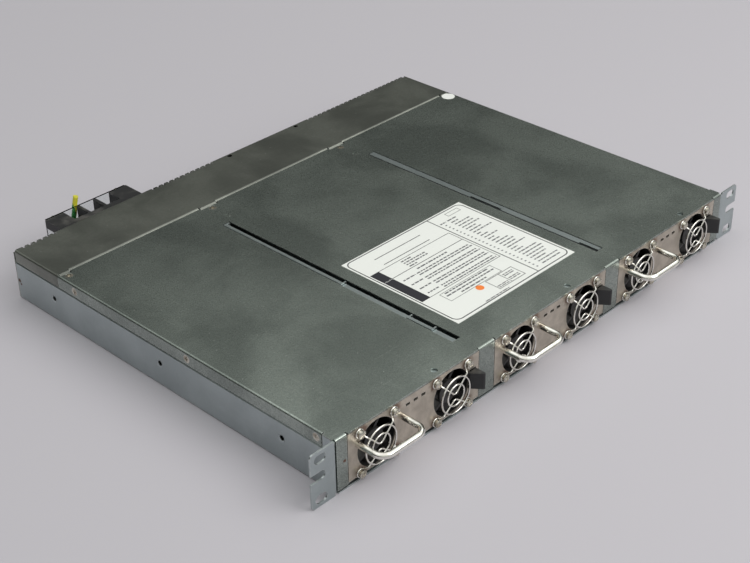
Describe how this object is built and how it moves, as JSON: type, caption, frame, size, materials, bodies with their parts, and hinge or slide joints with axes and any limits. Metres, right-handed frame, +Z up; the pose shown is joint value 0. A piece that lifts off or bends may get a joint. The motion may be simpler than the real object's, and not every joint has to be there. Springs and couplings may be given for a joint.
{
  "type": "rack power shelf",
  "caption": "Low rack shelf of folded steel with plug-in power modules, each with wire-guarded fans, a bar handle and a release latch.",
  "frame": {"origin": "centre of the rack slots on the rear faces of the ears", "axes": "+X to the right seen from the front, +Y to the rear, +Z up"},
  "size_m": [0.4826, 0.4093, 0.0463],
  "materials": {
    "zinc_plate": "passivated zinc plate, satin",
    "cover_plate": "fine speckled grey finish, semi-matt",
    "cover_plate_dark": "fine speckled grey finish, semi-matt",
    "panel_paint": "warm grey passivated plate, satin",
    "chrome_rod": "bright plated",
    "bright_screws": "plated, with grime",
    "bright_steel": "tinned",
    "aluminium": "bare",
    "tinned_copper": "tinned copper, satin",
    "black_plastic": "moulded, fine grain",
    "rotor_plastic": "moulded",
    "clear_plastic": "clear acrylic",
    "circuit_board": "solder resist",
    "earth_wire": "green with a yellow stripe",
    "paper_label": "printed film"
  },
  "bodies": {
    "shelf": {"tray": "zinc_plate", "front_cover": "cover_plate", "rear_cover": "cover_plate_dark", "divider_left": "zinc_plate", "divider_right": "zinc_plate", "side_guide_left": "zinc_plate", "side_guide_right": "zinc_plate", "backplane": "circuit_board", "backplane_posts": "aluminium", "module_sockets": "black_plastic", "bus_bar_negative": "tinned_copper", "bus_bar_positive": "tinned_copper", "terminal_block": "black_plastic", "terminal_cover": "clear_plastic", "terminal_screws": "bright_screws", "earth_wire": "earth_wire", "signal_connector": "bright_steel", "cover_screws": "bright_screws", "rating_label": "paper_label", "round_sticker": "paper_label"},
    "module_1": {"module_1_case": "zinc_plate", "module_1_cover": "zinc_plate", "module_1_panel": "panel_paint", "module_1_handle": "chrome_rod", "module_1_fan_left": "black_plastic", "module_1_fan_right": "black_plastic", "module_1_guard_left": "chrome_rod", "module_1_guard_right": "chrome_rod", "module_1_fan_screws": "bright_screws", "module_1_board": "circuit_board"},
    "latch_1": {"module_1_latch": "black_plastic"},
    "rotor_1_left": {"module_1_rotor_left": "rotor_plastic"},
    "rotor_1_right": {"module_1_rotor_right": "rotor_plastic"},
    "module_2": {"module_2_case": "zinc_plate", "module_2_cover": "zinc_plate", "module_2_panel": "panel_paint", "module_2_handle": "chrome_rod", "module_2_fan_left": "black_plastic", "module_2_fan_right": "black_plastic", "module_2_guard_left": "chrome_rod", "module_2_guard_right": "chrome_rod", "module_2_fan_screws": "bright_screws", "module_2_board": "circuit_board"},
    "latch_2": {"module_2_latch": "black_plastic"},
    "rotor_2_left": {"module_2_rotor_left": "rotor_plastic"},
    "rotor_2_right": {"module_2_rotor_right": "rotor_plastic"},
    "module_3": {"module_3_case": "zinc_plate", "module_3_cover": "zinc_plate", "module_3_panel": "panel_paint", "module_3_handle": "chrome_rod", "module_3_fan_left": "black_plastic", "module_3_fan_right": "black_plastic", "module_3_guard_left": "chrome_rod", "module_3_guard_right": "chrome_rod", "module_3_fan_screws": "bright_screws", "module_3_board": "circuit_board"},
    "latch_3": {"module_3_latch": "black_plastic"},
    "rotor_3_left": {"module_3_rotor_left": "rotor_plastic"},
    "rotor_3_right": {"module_3_rotor_right": "rotor_plastic"}
  },
  "joints": [
    {"name": "module_1_slide", "type": "slide", "parent": "shelf", "child": "module_1", "axis": [0, -1, 0], "range_m": [0, 0.29]},
    {"name": "latch_1_press", "type": "hinge", "parent": "module_1", "child": "latch_1", "pos_m": [-0.08535, 0.0708, 0.0018], "axis": [0, 0, 1], "range_deg": [-2.6, 0], "stiffness_Nm_per_rad": 2},
    {"name": "fan_1_left_spin", "type": "hinge", "parent": "module_1", "child": "rotor_1_left", "pos_m": [-0.182, 0.012, 0.00017], "axis": [0, 1, 0], "continuous": true},
    {"name": "fan_1_right_spin", "type": "hinge", "parent": "module_1", "child": "rotor_1_right", "pos_m": [-0.109, 0.012, 0.00017], "axis": [0, 1, 0], "continuous": true},
    {"name": "module_2_slide", "type": "slide", "parent": "shelf", "child": "module_2", "axis": [0, -1, 0], "range_m": [0, 0.29]},
    {"name": "latch_2_press", "type": "hinge", "parent": "module_2", "child": "latch_2", "pos_m": [0.05915, 0.0708, 0.0018], "axis": [0, 0, 1], "range_deg": [-2.6, 0], "stiffness_Nm_per_rad": 2},
    {"name": "fan_2_left_spin", "type": "hinge", "parent": "module_2", "child": "rotor_2_left", "pos_m": [-0.0375, 0.012, 0.00017], "axis": [0, 1, 0], "continuous": true},
    {"name": "fan_2_right_spin", "type": "hinge", "parent": "module_2", "child": "rotor_2_right", "pos_m": [0.0355, 0.012, 0.00017], "axis": [0, 1, 0], "continuous": true},
    {"name": "module_3_slide", "type": "slide", "parent": "shelf", "child": "module_3", "axis": [0, -1, 0], "range_m": [0, 0.29]},
    {"name": "latch_3_press", "type": "hinge", "parent": "module_3", "child": "latch_3", "pos_m": [0.20365, 0.0708, 0.0018], "axis": [0, 0, 1], "range_deg": [-2.6, 0], "stiffness_Nm_per_rad": 2},
    {"name": "fan_3_left_spin", "type": "hinge", "parent": "module_3", "child": "rotor_3_left", "pos_m": [0.107, 0.012, 0.00017], "axis": [0, 1, 0], "continuous": true},
    {"name": "fan_3_right_spin", "type": "hinge", "parent": "module_3", "child": "rotor_3_right", "pos_m": [0.18, 0.012, 0.00017], "axis": [0, 1, 0], "continuous": true}
  ]
}
